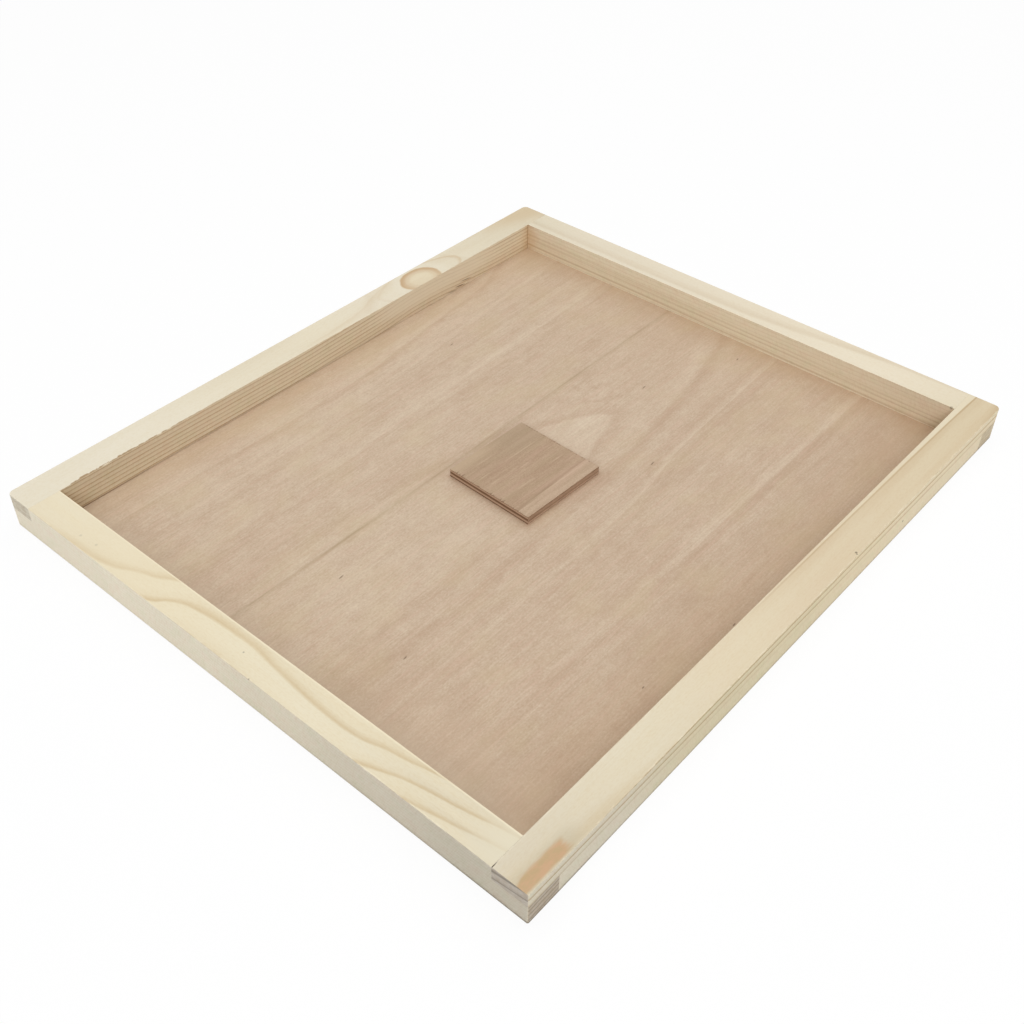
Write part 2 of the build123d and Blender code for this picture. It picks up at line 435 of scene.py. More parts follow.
def slanting_ring(pine, g, colour):
    """The soft ring on the left rail's top that slants over to its outer edge before the knot."""
    breadth = 14.0
    waver = (pine.noise(12.0, 7.0, 7.0, detail=3.0, seed=14.0) - 0.5) * 0.17 * breadth
    route = g.curve(pine.along, ((-30, -10.0), (0, -7.5), (40, -3.5), (60, 3.5), (80, 8.9), (95, 13.0)))
    before = (route - pine.across + waver) / breadth
    ring = g.ramp(before + 0.4, ((0.0, 0.0), (0.3, 0.25), (0.4, 1.0), (0.5, 0.7), (1.0, 0.0)))
    ring = ring * g.smooth(pine.along, -40.0, 10.0) * g.smooth(pine.along, 95.0, 80.0)
    return g.mix(ring * pine.top_face * 0.3, colour, srgb(205, 180, 142))


def far_end_browning(pine, g, colour):
    """The warmer brown that the left rail turns towards its far end, first along its outer edge."""
    patchy = (pine.noise(30.0, 8.0, 8.0, detail=2.0, seed=8.0) - 0.5) * 40.0
    brown = g.smooth(pine.along + pine.across * 2.5 + patchy, 190.0, 250.0)
    return g.mix(brown * (1.0 - pine.inner_face) * 0.6, colour, srgb(208, 184, 146))


def wall_lines(lines):
    """A mark of late-wood lines on the inner wall, each by its (along, depth) route and its share."""
    breadth = 5.0
    profile = ((0.0, 0.0), (0.25, 0.15), (0.46, 1.0), (0.54, 1.0), (0.62, 0.0))

    def mark(pine, g, colour):
        waver = (pine.noise(60.0, 4.0, 4.0, detail=3.0, seed=18.0) - 0.5) * 1.2
        for route, share in lines:
            below = pine.depth + waver - g.curve(pine.along, route)
            line = g.ramp(below / breadth + 0.5, profile)
            colour = g.mix(line * pine.inner_face * share, colour, pine.rail.tones["late"], "MULTIPLY")
        return colour
    return mark


def plain_wall(pine, g, colour):
    """The left rail's inner wall under the knot, where rings are faint, with painted shade that darkens
    its lower part.
    """
    stretch = g.smooth(pine.along, 40.0, 75.0) * g.smooth(pine.along, 200.0, 160.0)
    upper = g.smooth(pine.depth, 17.0, 12.0)
    colour = g.mix(stretch * upper * pine.inner_face * 0.72, colour, pine.tone("inner"))
    # Painted shade, darker towards the wall's foot
    low = g.smooth(pine.along, -20.0, 60.0) * g.smooth(pine.depth, 9.0, 20.0)
    return g.mix(low * pine.inner_face * 0.2, colour, pine.rail.tones["late"], "MULTIPLY")


def low_shade(pine, g, colour):
    """The rear wall's left half, which is paler above and darker below."""
    low = g.smooth(pine.along, 60.0, -60.0) * g.smooth(pine.depth, 4.0, 14.0)
    return g.mix(low * pine.inner_face * 0.14, colour, pine.rail.tones["late"], "MULTIPLY")


def corner_soil(place, reach):
    """A mark of brown soil on the inner wall, strongest at a place and gone at a reach from it."""
    def mark(pine, g, colour):
        near = g.smooth(abs(pine.along - place), reach, 0.0)
        patchy = 0.6 + g.smooth(pine.noise(6.0, 3.0, 3.0, detail=3.0, seed=19.0), 0.4, 0.6) * 0.4
        return g.mix(near * patchy * pine.inner_face * 0.5, colour, srgb(196, 160, 114))
    return mark


def wall_cracks(pine, g, colour):
    """Short brown splits low on the left rail's inner wall, the lowest of them painted shade along the
    wall's foot, and the open joint at its far end.
    """
    slope = 0.12
    dark = srgb(98, 66, 38)
    # The last split, lowest on the wall, is painted shade where the wall meets the panel
    splits = ((143, 20.2, 7, 0.95), (150, 17.6, 8, 0.7), (133, 21.3, 7, 0.5))
    for place, depth, length, share in splits:
        below = pine.depth - depth - (pine.along - place) * slope
        split = g.spot(pine.along - place, below, length, 0.6, edge=0.7)
        colour = g.mix(split * pine.inner_face * share, colour, dark)
    joint = g.smooth(pine.along, wall_end - 1.2, wall_end - 0.3) * pine.inner_face
    return g.mix(joint * 0.5, colour, dark)


def painted_foot_shade(pine, g, colour):
    """Painted shade in the crease at the foot of the left rail's inner wall, widest at the near end."""
    wide = g.curve(pine.along, ((-227, 0.66), (-190, 0.62), (-150, 0.36), (-100, 0.26), (-40, 0.2),
                                (60, 0.12), (140, 0.0), (227, 0.04)))
    foot = g.smooth(pine.depth, 20.5, 21.5)
    return g.mix(foot * wide * pine.inner_face, colour, srgb(112, 68, 26))


def torn_arris_shade(pine, g, colour):
    """The left rail's inner arris by the near corner, torn so that its top ends in a jagged line,
    darkened with painted shade of the torn edge.
    """
    torn = g.curve(pine.along, ((-219, 0.0), (-216.5, 1.0), (-190, 1.0), (-165, 0.7), (-125, 0.35),
                                (-60, 0.0)))
    jagged = pine.noise(3.5, 3.0, 3.0, detail=3.0, seed=21.0)
    reach = torn * (0.5 + g.smooth(jagged, 0.35, 0.65) * 1.2)
    off_edge = pine.across + rail_width / 2.0
    # Painted shade of the torn edge
    chip = g.smooth(off_edge - reach, 0.2, -0.2) * g.smooth(torn, 0.02, 0.1)
    return g.mix(chip * pine.top_face * 0.95, colour, srgb(168, 140, 104))


def painted_arris_highlight(pine, g, colour):
    """A painted highlight on the front rail's inner arris, along its whole length."""
    off_arris = pine.across + rail_width / 2.0 + pine.depth
    return g.mix(g.smooth(off_arris, 1.3, 0.5) * 0.6, colour, srgb(245, 233, 203))


def arris_splinters(places):
    """A mark of pale splinters on the inner arris, each by its place along the rail and its length."""
    def mark(pine, g, colour):
        off_arris = pine.across + rail_width / 2.0 + pine.depth
        for place, length in places:
            splinter = g.spot(pine.along - place, off_arris, length, 1.3, edge=0.7)
            colour = g.mix(splinter * 0.7, colour, arris_wear_and_highlight_tone)
        return colour
    return mark


def end_rings(lines, tone):
    """A mark of dark rings on end grain, each by its depth at the rail's outer and inner face."""
    breadth = 5.0
    profile = ((0.0, 0.0), (0.3, 0.2), (0.48, 1.0), (0.55, 1.0), (0.65, 0.1), (0.75, 0.0))

    def mark(pine, g, colour):
        inward = 0.5 - pine.across / rail_width
        for outer_depth, inner_depth in lines:
            below = pine.depth - outer_depth - inward * (inner_depth - outer_depth)
            line = g.ramp(below / breadth + 0.5, profile)
            colour = g.mix(line * pine.end_face * 0.7, colour, tone)
        return colour
    return mark


def dark_specks(places, radius, share):
    """A mark of small dark dots, each by its place along the rail, across it and below the rim."""
    def mark(pine, g, colour):
        for along, across, depth in places:
            offset = ((pine.across - across) ** 2.0 + (pine.depth - depth) ** 2.0) ** 0.5
            dot = g.spot(pine.along - along, offset, radius, radius, edge=0.6)
            colour = g.mix(dot * share, colour, srgb(105, 95, 75))
        return colour
    return mark


front_wood = rail_wood(Rail(
    name="front_rail", runs_along_x=True, outward=-1.0,
    ring_spacing=2.5, first_ring=2.0, bark_up=False,
    swell=((-215, 0.75), (-150, 0.8), (-121, 0.97), (-95, 1.95), (-72, 3.2), (-47, 4.84), (-20, 5.2),
           (0, 5.2), (20, 4.86), (60, 4.5), (80, 4.43), (107, 5.3), (134, 6.7), (161, 7.75),
           (192, 9.28), (215, 9.9)),
    tilt=((-215, 0.05), (-120, 0.1), (-70, 0.12), (60, 0.125), (107, 0.17), (134, 0.23), (215, 0.25)),
    seed=1.0,
    tones={"top": ((-215, srgb(235, 226, 202)), (-100, srgb(235, 223, 194)), (60, srgb(233, 223, 197)),
                   (150, srgb(223, 213, 189)), (215, srgb(216, 206, 184))),
           # The outer tones darken towards the near corner, at the high end: painted shade
           "outer": ((-108, srgb(237, 229, 210)), (-36, srgb(232, 224, 205)), (36, srgb(223, 215, 196)),
                     (108, srgb(211, 203, 186)), (179, srgb(198, 191, 175))),
           "inner": ((-215, srgb(222, 203, 172)), (215, srgb(222, 205, 174))),
           "cloud": srgb(233, 220, 189), "end": srgb(194, 183, 168), "late": srgb(216, 194, 158)},
    ring_strength={"top": 0.6, "inner": 0.7, "outer": 0.2, "end": 0.2},
    contact_shadow=((-215, 0.15), (0, 0.15), (110, 0.35), (160, 0.5), (190, 0.85), (215, 0.9)),
    marks=(pale_ends, painted_arris_highlight,
           dark_specks(((0.0, 0.5, 0.0), (17.0, 11.2, 0.3)), 0.8, 0.45),
           dark_specks(((-133.0, 2.8, 0.0), (-147.0, 4.0, 0.0)), 1.3, 0.17),
           end_rings(((11.0, 10.2), (14.2, 13.2), (18.0, 17.0), (21.8, 20.8)), srgb(132, 121, 102)))))
rear_wood = rail_wood(Rail(
    name="rear_rail", runs_along_x=True, outward=1.0,
    ring_spacing=3.1, first_ring=2.7, bark_up=False,
    swell=((-215, -1.1), (-150, -1.1), (0, -1.0), (80, -0.3), (134, 0.3), (188, 0.6), (215, 0.7)),
    tilt=((-215, -0.11), (215, -0.09)),
    seed=2.0,
    tones={"top": ((-215, srgb(224, 215, 191)), (-130, srgb(230, 220, 199)), (130, srgb(235, 224, 201)),
                   (215, srgb(227, 215, 188))),
           "outer": ((-215, srgb(220, 212, 193)), (215, srgb(222, 213, 194))),
           "inner": ((-190, srgb(233, 219, 195)), (-120, srgb(238, 227, 203)), (0, srgb(238, 226, 201)),
                     (80, srgb(235, 222, 197)), (190, srgb(229, 213, 188))),
           "cloud": srgb(231, 219, 196), "end": srgb(212, 199, 172), "late": srgb(216, 200, 180)},
    ring_strength={"top": 0.35, "inner": 0.3, "outer": 0.4, "end": 0.6},
    contact_shadow=((-215, 0.3), (215, 0.5)),
    marks=(wall_lines((
               (((-192, 9.2), (-98, 10.2), (27, 11.3), (89, 12.0), (151, 13.0), (192, 13.4)), 0.3),
               (((-192, 12.6), (-98, 13.4), (-35, 14.0), (27, 14.5), (89, 15.0), (151, 16.3),
                 (192, 16.8)), 0.35),
               (((-192, 17.8), (-98, 18.5), (-35, 19.2), (27, 19.7), (89, 20.2), (192, 20.8)), 0.6))),
           low_shade, corner_soil(-192.0, 14.0),
           dark_specks(((189.5, -11.3, 0.6),), 1.6, 0.5),
           arris_splinters(((64, 4), (106, 3), (124, 4))))))
left_wood = rail_wood(Rail(
    name="left_rail", runs_along_x=False, outward=-1.0,
    ring_spacing=3.15, first_ring=3.2, bark_up=True,
    swell=((-250, -1.6), (-160, -1.6), (-72, -2.4), (-32, -2.5), (0, -1.7), (48, -0.1), (60, 0.6),
           (80, 2.2), (100, 3.0), (115, 2.7), (140, 0.8), (170, -1.4), (193, -2.4), (250, -2.8)),
    tilt=((-250, -0.05), (250, -0.04)),
    seed=3.0,
    tones={"top": ((-250, srgb(234, 226, 207)), (0, srgb(232, 222, 198)), (60, srgb(231, 221, 200)),
                   (120, srgb(227, 216, 192)), (250, srgb(221, 210, 185))),
           "outer": ((-250, srgb(220, 212, 193)), (250, srgb(222, 213, 194))),
           "inner": ((-227, srgb(221, 205, 178)), (-100, srgb(229, 214, 188)), (0, srgb(231, 217, 191)),
                     (80, srgb(233, 219, 194)), (227, srgb(239, 225, 199))),
           "cloud": srgb(230, 221, 198), "end": srgb(214, 208, 191), "late": srgb(203, 178, 148)},
    ring_strength={"top": 0.12, "inner": 0.95, "outer": 0.4, "end": 0.35},
    contact_shadow=((-250, 0.15), (250, 0.3)),
    marks=(far_end_browning, knot_rings, slanting_ring, plain_wall, wall_cracks, painted_foot_shade,
           corner_soil(wall_end, 11.0), torn_arris_shade,
           arris_splinters(((-192, 4), (-150, 3), (-142, 3), (13.5, 4), (43, 3), (55, 4))))))
right_wood = rail_wood(Rail(
    name="right_rail", runs_along_x=False, outward=1.0,
    ring_spacing=5.4, first_ring=3.6, bark_up=False,
    swell=((-250, 2.75), (-208, 2.25), (-125, 1.08), (-41, 0.3), (41, 0.17), (125, -0.37),
           (208, -0.93), (250, -1.2)),
    tilt=((-250, 0.12), (-125, 0.11), (-41, 0.1), (41, 0.02), (125, -0.02), (208, -0.05), (250, -0.06)),
    seed=4.0, rings_fade=11.0,
    tones={"top": ((-250, srgb(220, 210, 188)), (-150, srgb(227, 217, 193)), (-60, srgb(226, 211, 183)),
                   (60, srgb(221, 203, 173)), (210, srgb(217, 199, 167))),
           # The outer tones darken towards the near corner, at the low end: painted shade
           "outer": ((-190, srgb(218, 210, 191)), (-110, srgb(220, 209, 179)),
                     (-20, srgb(225, 213, 182)), (60, srgb(233, 219, 188)),
                     (140, srgb(236, 222, 193))),
           "inner": ((-250, srgb(222, 203, 172)), (250, srgb(222, 205, 174))),
           "cloud": srgb(226, 213, 184), "end": srgb(190, 182, 172), "late": srgb(212, 194, 164)},
    ring_strength={"top": 0.45, "inner": 0.6, "outer": 1.2, "end": 0.2},
    contact_shadow=((-250, 0.9), (-205, 0.8), (-180, 0.5), (180, 0.45), (250, 0.7)),
    marks=(heart_stain, open_joint, inner_edge_ring,
           dark_specks(((54.0, 10.6, 0.6), (55.0, 9.6, 0.0), (116.0, 11.5, 14.7)), 1.1, 0.75),
           end_rings(((-1.2, 2.6), (-0.6, 3.4), (5.2, 8.8)), srgb(126, 117, 104)))))


@dataclass
class VeneerLine:
    """One line of the figure: its route as (y, x) points, and its shade at each distance right of it."""
    route: tuple
    profile: tuple

    def shade(self, g, x):
        return g.curve(x - g.curve(g.y, self.route), self.profile)


veneer_lines = (
    VeneerLine(((-227, -162), (-130, -162), (-75, -159.5), (-12, -160.7), (24, -163), (66, -168.6),
                (116, -174), (149, -177.5), (184, -190), (227, -206)),
               ((-12, 0), (-6, 0.06), (-3, 0.08), (-1.2, 0.03), (0.8, -0.12), (3, -0.08), (5.5, 0),
                (9, 0.03), (16, 0.01), (20, 0))),
    VeneerLine(((-227, -138), (-100, -137.5), (-20, -138.5), (20, -142), (52, -145.4), (134, -152.5),
                (195, -158), (227, -160)),
               ((-14, 0), (-9, 0.03), (-5, 0), (-1.5, 0.07), (0.2, 0.06), (1.8, -0.04), (5, -0.02),
                (8, 0))),
    VeneerLine(((-227, -129), (-20, -129.5), (48, -131), (191, -136.4), (227, -137.5)),
               ((-8, 0), (-5, -0.02), (-1.5, 0), (1, -0.08), (3, -0.03), (6, 0.03), (10, 0))),
    VeneerLine(((-227, -101), (-60, -101.3), (0, -104.3), (148, -107), (227, -111)),
               ((-10, 0), (-5, 0.03), (-1.2, 0.1), (0.5, 0.05), (2, -0.02), (6, 0), (10.5, -0.08),
                (14, -0.03), (18, 0))),
    VeneerLine(((-227, 47), (-190, 45), (-126, 48.5), (-60, 44.5), (35, 38.8), (99, 31.8), (158, 23.4),
                (214, 8), (227, 3)),
               ((-14, 0), (-7, 0.08), (-3.5, 0.06), (0, -0.06), (3, -0.13), (6, -0.08), (9, -0.01),
                (12.5, 0.06), (18, 0.02), (24, 0))),
    VeneerLine(((-227, 76.5), (-130, 75.5), (-40, 74.5), (40, 68.7), (85, 61.7), (141, 57.5),
                (214, 53.4), (227, 52.5)),
               ((-10, 0), (-6.5, -0.04), (-4, 0), (-1, 0.12), (0.4, 0.14), (1.7, -0.03), (4, -0.01),
                (7.5, -0.08), (11, -0.02), (14, 0))),
    VeneerLine(((-227, 124.7), (-140, 125), (-60, 126), (60, 124.6), (227, 124.8)),
               ((-10, 0), (-6, 0.01), (-3, 0.1), (-0.8, 0.12), (1.2, -0.01), (5.2, -0.13), (9, -0.01),
                (12, 0.01), (16, -0.03), (20, 0))),
)


def pale_heart(g, x):
    """The pale tongue of the figure: 1 inside its outline, and the darker rim that runs round it."""
    left = g.curve(g.y, ((-227, -60), (0, -40), (40, -26), (54, -20), (62, -16.4), (68, -13.6),
                         (77, -8.6), (82, -5.2), (87, -0.6)))
    right = g.curve(g.y, ((-227, 31), (-178, 28.7), (-143, 24.2), (-110, 27.2), (-88, 25.7), (-40, 28.7),
                          (0, 26), (40, 19.2), (54, 15), (68, 11.8), (77, 9.2), (82, 6.8), (87, 4)))
    inward = g.math("MINIMUM", g.math("MINIMUM", x - left, right - x), (88.0 - g.y) * 0.6)
    rim = g.smooth(inward, -11.0, -4.0) * g.smooth(inward, 0.0, -3.0)
    return g.smooth(inward, -1.6, 1.8), rim


def cover_axes(g):
    """How far a place lies across and along the turned cover, from its middle."""
    x, y = g.x - cover_x, g.y - cover_y
    across = x * math.cos(cover_turn) + y * math.sin(cover_turn)
    along = y * math.cos(cover_turn) - x * math.sin(cover_turn)
    return across, along


def veneer_figure(g, x, strand):
    """How pale the panel's figure is: its heart, and lines of strands, clearer behind the cover."""
    heart, rim = pale_heart(g, x)
    behind_cover = g.smooth(g.y, -20.0, 50.0)
    level = 0.42 + g.smooth(abs(g.x), 60.0, 110.0) * 0.05 - g.smooth(g.x, 0.0, 150.0) * 0.1
    level = level - g.smooth(g.y, -150.0, -200.0) * g.smooth(g.x, -10.0, 40.0) * 0.07
    level = level + heart * (0.07 + behind_cover * 0.1) - rim * (0.04 + behind_cover * 0.03)
    lines = sum(line.shade(g, x) for line in veneer_lines)
    clear = g.curve(g.y, ((-227, 0.7), (-60, 0.78), (20, 1.0), (70, 1.25), (227, 1.35)))
    patchy = 0.7 + g.noise((70.0, 60.0, 9.0), seed=18.0) * 0.8
    return level + lines * clear * (0.45 + strand * 0.6) * patchy


def painted_wall_shade_and_light(g, colour):
    """Painted shade on the panel by its walls, browner at the rear and right and darker at the left, and
    painted light that makes it paler at the front.
    """
    # Painted shade, browner along the rear and right walls
    brown = g.smooth(g.y, 60.0, 240.0) * 0.12 + g.smooth(g.y, 200.0, 227.0) * 0.18
    brown = brown + g.smooth(g.x, 130.0, 185.0) * 0.25
    colour = g.mix(brown, colour, srgb(187, 156, 122))
    # Painted light, paler along the front wall and towards the near corner
    near_corner = g.smooth(g.x, 30.0, 110.0) * g.smooth(g.y, -165.0, -205.0)
    painted_front_light = g.smooth(g.y, -205.0, -217.0) * 0.3 + near_corner * 0.2
    colour = g.mix(painted_front_light, colour, srgb(222, 203, 178))
    # Painted shade by the right wall, and a slight darkening just behind the front
    dulling_shade = g.curve(g.x, ((112, 0.0), (132, 0.03), (146, 0.18), (160, 0.22), (170, 0.2), (178, 0.12),
                           (186, 0.08)))
    dulling_shade = dulling_shade + g.smooth(g.y, -150.0, -185.0) * g.smooth(g.y, -213.0, -203.0) * 0.12
    colour = g.mix(dulling_shade, colour, srgb(228, 226, 224), "MULTIPLY")
    # Painted shade along the left wall
    dark = g.curve(g.x, ((-192, 0.1), (-186, 0.2), (-180, 0.24), (-175, 0.12), (-168, 0)))
    colour = g.mix(dark, colour, srgb(177, 152, 120))
    # Painted shade in the crease at the left wall's foot
    foot = g.curve(g.y, ((-227, 0.0), (-190, 0.08), (-150, 0.2), (-80, 0.32), (20, 0.3), (100, 0.2),
                         (227, 0.1)))
    return g.mix(foot * g.smooth(g.x, -190.6, -191.8), colour, srgb(122, 84, 44))


def painted_cover_shadow(g, colour):
    """Painted contact shadow on the panel along the edges of the cover."""
    across, along = cover_axes(g)
    off_cover = g.math("MAXIMUM", abs(across), abs(along)) - cover_half_side
    # Painted contact shadow, strongest at the cover's edge
    cover_shadow = g.curve(off_cover, ((0, 0.6), (1, 0.5), (3, 0.27), (5, 0.19), (8, 0.11), (13, 0.06), (20, 0)))
    upper_face = g.smooth(g.normal_z, 0.3, 0.8)
    cover_shadow = cover_shadow * g.smooth(off_cover, -0.6, 0.0) * upper_face
    return g.mix(cover_shadow, colour, srgb(214, 197, 186), "MULTIPLY")


def strip_joint(g, colour):
    """The joint between the panel's strips: a soft shade, and a line that is dirty in places."""
    joint = g.curve(g.y, ((-227, -44.6), (-60, -43.7), (0, -44.2), (100, -45.5), (227, -45.8)))
    beside = g.x - joint
    patchy = g.noise((3.0, 30.0, 3.0), detail=4.0, roughness=0.6, seed=15.0)
    shade = g.smooth(abs(beside - 0.8), 3.4, 0.6) * (0.5 + g.smooth(patchy, 0.35, 0.65) * 0.5)
    seam = g.smooth(abs(beside), 1.0, 0.2) * (0.3 + g.smooth(patchy, 0.4, 0.65) * 0.7)
    dirt = g.spot(beside - 0.5, g.y + 135.0, 1.8, 55.0, edge=0.9) * 0.3
    dirt = dirt + g.spot(beside - 3.4, g.y + 122.0, 2.2, 9.0, edge=0.95) * 0.35
    colour = g.mix(shade * 0.26, colour, srgb(164, 140, 108))
    colour = g.mix(seam * 0.28, colour, srgb(150, 128, 96))
    return g.mix(dirt * (0.5 + patchy), colour, srgb(164, 138, 106))


def dark_flecks(g, colour):
    """Short dark flecks in the panel's veneer, each by its place in x and y and its length."""
    slant = 0.12
    flecks = ((0.7, 131.5, 3), (57, 65, 3.2), (-141.5, 79, 2.6), (-20.6, -149, 3), (54.8, -170, 2.4),
              (32, 206.5, 2.2), (170, -98, 1.6), (181.5, -24, 2.4))
    for place_x, place_y, length in flecks:
        beyond = g.y - place_y
        fleck = g.spot(g.x - place_x + beyond * slant, beyond, 0.7, length, edge=0.8)
        colour = g.mix(fleck * 0.7, colour, srgb(104, 84, 64))
    return colour


def sawn_plies(g, colour):
    """The three plies on the panel's sawn edges, of which the middle one is darker."""
    middle_ply = g.smooth(abs(g.z - panel_thickness / 2.0), 0.85, 0.6)
    torn = g.noise((3.0, 3.0, 0.5), detail=3.0, seed=29.0)
    darker = g.smooth(middle_ply + (torn - 0.5) * 0.8, 0.0, 1.0)
    ply = g.mix(darker, srgb(206, 182, 152), srgb(150, 118, 90))
    sawn_edge = g.smooth(abs(g.normal_z), 0.8, 0.5)
    return g.mix(sawn_edge, colour, ply)


def panel_veneer():
    """Pinkish veneer with its grain along y, in two strips that are joined to the left of the cover."""
    g = Graph("panel_okoume")
    streak = g.noise((1.4, 45.0, 3.0), detail=4.0, roughness=0.6, seed=12.0)
    fibre = g.noise((0.5, 9.0, 0.6), detail=3.0, roughness=0.6, seed=13.0)
    mottle = g.noise((15.0, 40.0, 6.0), detail=3.0, seed=14.0)
    curl = g.noise((5.0, 8.0, 5.0), detail=3.0, seed=20.0)
    speckle = g.noise((0.9, 1.4, 0.9), detail=2.0, seed=16.0)
    strand = g.smooth(g.noise((1.1, 26.0, 3.0), detail=3.0, seed=21.0), 0.3, 0.7)
    sway = g.noise((40.0, 50.0, 9.0), detail=2.0, seed=11.0)

    x = g.x + (sway - 0.5) * 2.5 + (curl - 0.5) * 1.8
    burl = g.spot(g.x + 20.0, g.y - 104.0, 30.0, 26.0, edge=0.8)
    level = veneer_figure(g, x, strand) + (curl - 0.5) * (0.32 + burl * 0.4)
    level = level + (streak - 0.5) * 0.52 + (fibre - 0.5) * 0.38
    level = level + (mottle - 0.5) * 0.34 + (speckle - 0.5) * 0.64
    colour = g.mix(g.smooth(level, 0.0, 1.0), srgb(184, 157, 132), srgb(219, 202, 178))
    greener = g.smooth(g.noise((24.0, 40.0, 9.0), detail=2.0, seed=17.0), 0.45, 0.7)
    pinker = g.smooth(g.noise((1.8, 24.0, 4.0), detail=3.0, seed=19.0), 0.45, 0.7)
    colour = g.mix(greener * 0.25, colour, srgb(200, 181, 144))
    colour = g.mix(pinker * 0.26, colour, srgb(210, 177, 156))
    for mark in (painted_wall_shade_and_light, painted_cover_shadow, strip_joint, dark_flecks, sawn_plies):
        colour = mark(g, colour)
    return g.finish(colour, 0.58 + fibre * 0.2, fibre * 0.6 + streak * 0.4, 0.08)


def torn_fibres(g, face, across, along, place):
    """Pale dashes on the cover's face, dark tufts at its front edge and small teeth at both ends."""
    dashes = ((-24.7, -13, 14), (-14, 12, 24), (-13.2, -24, 9), (-2, 2, 8), (9, 22, 9), (25.6, 0, 42),
              (-4.5, -24, 7), (11.5, -12, 12))
    for dash_across, dash_along, length in dashes:
        dash = g.spot(across - dash_across, along - dash_along, 0.8, length, edge=0.8)
        face = g.mix(dash * 0.35, face, srgb(208, 184, 156))
    tufts = ((-29, 3), (-26.4, 2), (-24.2, 5), (-9, 1.4), (2, 2.4), (4, 1.8), (10.5, 3), (13, 3.6),
             (22, 1.6))
    for tuft_across, length in tufts:
        tuft = g.spot(across - tuft_across, along + cover_half_side, 0.8, length, edge=0.9)
        face = g.mix(tuft * 0.8, face, srgb(112, 82, 60))
    teeth = g.smooth(g.noise((1.2, 6.0, 3.0), detail=2.0, seed=25.0, place=place), 0.5, 0.62)
    rough_rim = g.smooth(abs(along), cover_half_side - 1.3, cover_half_side - 0.3)
    return g.mix(teeth * rough_rim * 0.6, face, srgb(124, 94, 70))


def cover_face(g, across, along, place):
    """The face of the square cover: brown streaks, a paler strip on the right and torn fibres."""
    streak = g.noise((1.0, 45.0, 3.0), detail=4.0, roughness=0.6, seed=21.0, place=place)
    band = g.noise((5.0, 80.0, 5.0), detail=2.0, seed=22.0, place=place)
    fibre = g.noise((0.4, 8.0, 0.5), detail=3.0, roughness=0.6, seed=23.0, place=place)
    speckle = g.noise((0.8, 1.2, 0.8), detail=2.0, seed=26.0, place=place)
    level = 0.5 + (streak - 0.5) * 0.6 + (band - 0.5) * 0.5
    level = level + (fibre - 0.5) * 0.4 + (speckle - 0.5) * 0.6
    face = g.mix(g.smooth(level, 0.0, 1.0), srgb(153, 123, 97), srgb(195, 170, 143))
    rosy = g.noise((5.0, 40.0, 5.0), detail=2.0, seed=27.0, place=place)
    face = g.mix(g.smooth(rosy, 0.5, 0.65) * 0.3, face, srgb(190, 158, 136))
    face = g.mix(g.smooth(rosy, 0.5, 0.35) * 0.25, face, srgb(174, 153, 122))

    # The left third is greyer, darker at the rear and paler at the front
    greyer = g.smooth(across + (band - 0.5) * 10.0, -8.0, -20.0)
    face = g.mix(greyer * (0.15 + g.smooth(along, -5.0, 15.0) * 0.25), face, srgb(166, 147, 119))
    pale_corner = g.smooth(across + (band - 0.5) * 8.0, -24.0, -33.0) * g.smooth(along, 8.0, -12.0)
    face = g.mix(pale_corner * 0.5, face, srgb(198, 174, 145))

    # The strip, whose edge leans, with a dark line before it
    lean = 0.05
    beyond = across + along * lean - 25.2 + (streak - 0.5) * 3.0
    strip_tone = g.mix(g.smooth(level, 0.2, 0.8), srgb(176, 150, 124), srgb(200, 176, 150))
    pinkish = g.smooth(beyond, 6.0, 1.0) * g.smooth(along, -25.0, 10.0)
    strip_tone = g.mix(pinkish * 0.4, strip_tone, srgb(204, 172, 150))
    face = g.mix(g.smooth(beyond, -1.0, 1.0) * 0.7, face, strip_tone)
    dark_line = g.smooth(beyond, -3.0, -1.0) * g.smooth(beyond, 0.2, -0.8)
    face = g.mix(dark_line * (0.15 + g.smooth(along, 8.0, -8.0) * 0.2), face, srgb(138, 111, 86))
    return torn_fibres(g, face, across, along, place), fibre


def cover_veneer():
    """Browner plywood for the square cover, with its plies on the edges."""
    g = Graph("cover_okoume")
    across, along = cover_axes(g)
    place = g.join(across, along, g.z)
    face, fibre = cover_face(g, across, along, place)

    # Plies from the face down, as they look from the front and from the right; the dark foot of the row
    # seen from the right is partly the bottom ply and partly painted contact shadow
    down = (cover_top - g.z) / cover_thickness
    front = g.ramp(down, ((0.0, 0.15), (0.05, 0.2), (0.1, 0.8), (0.24, 0.8), (0.33, 0.0), (0.52, -0.05),
                          (0.6, 0.6), (0.66, 0.85), (0.8, 0.85), (0.87, 0.1), (1.0, 0.0)))
    side = g.ramp(down, ((0.0, 0.45), (0.15, 0.45), (0.3, 0.6), (0.48, 0.55), (0.6, 0.4), (0.68, 0.45),
                         (0.78, 0.85), (0.92, 0.85), (0.97, 0.3), (1.0, 0.2)))
    looks_along_y = g.smooth(abs(g.normal_y), 0.5, 0.8)
    torn = g.noise((6.0, 6.0, 0.7), detail=4.0, roughness=0.6, seed=24.0)
    frayed = g.noise((14.0, 14.0, 3.0), detail=3.0, seed=28.0)
    pale = side + looks_along_y * (front - side) + (torn - 0.5) * 0.8 + (frayed - 0.5) * 0.5
    edge = g.mix(g.smooth(pale, -0.1, 1.1), srgb(117, 86, 62), srgb(198, 168, 143))
    is_face = g.smooth(abs(g.normal_z), 0.5, 0.8)
    return g.finish(g.mix(is_face, edge, face), 0.6 + fibre * 0.2, fibre * 0.6 + torn * 0.4, 0.08)


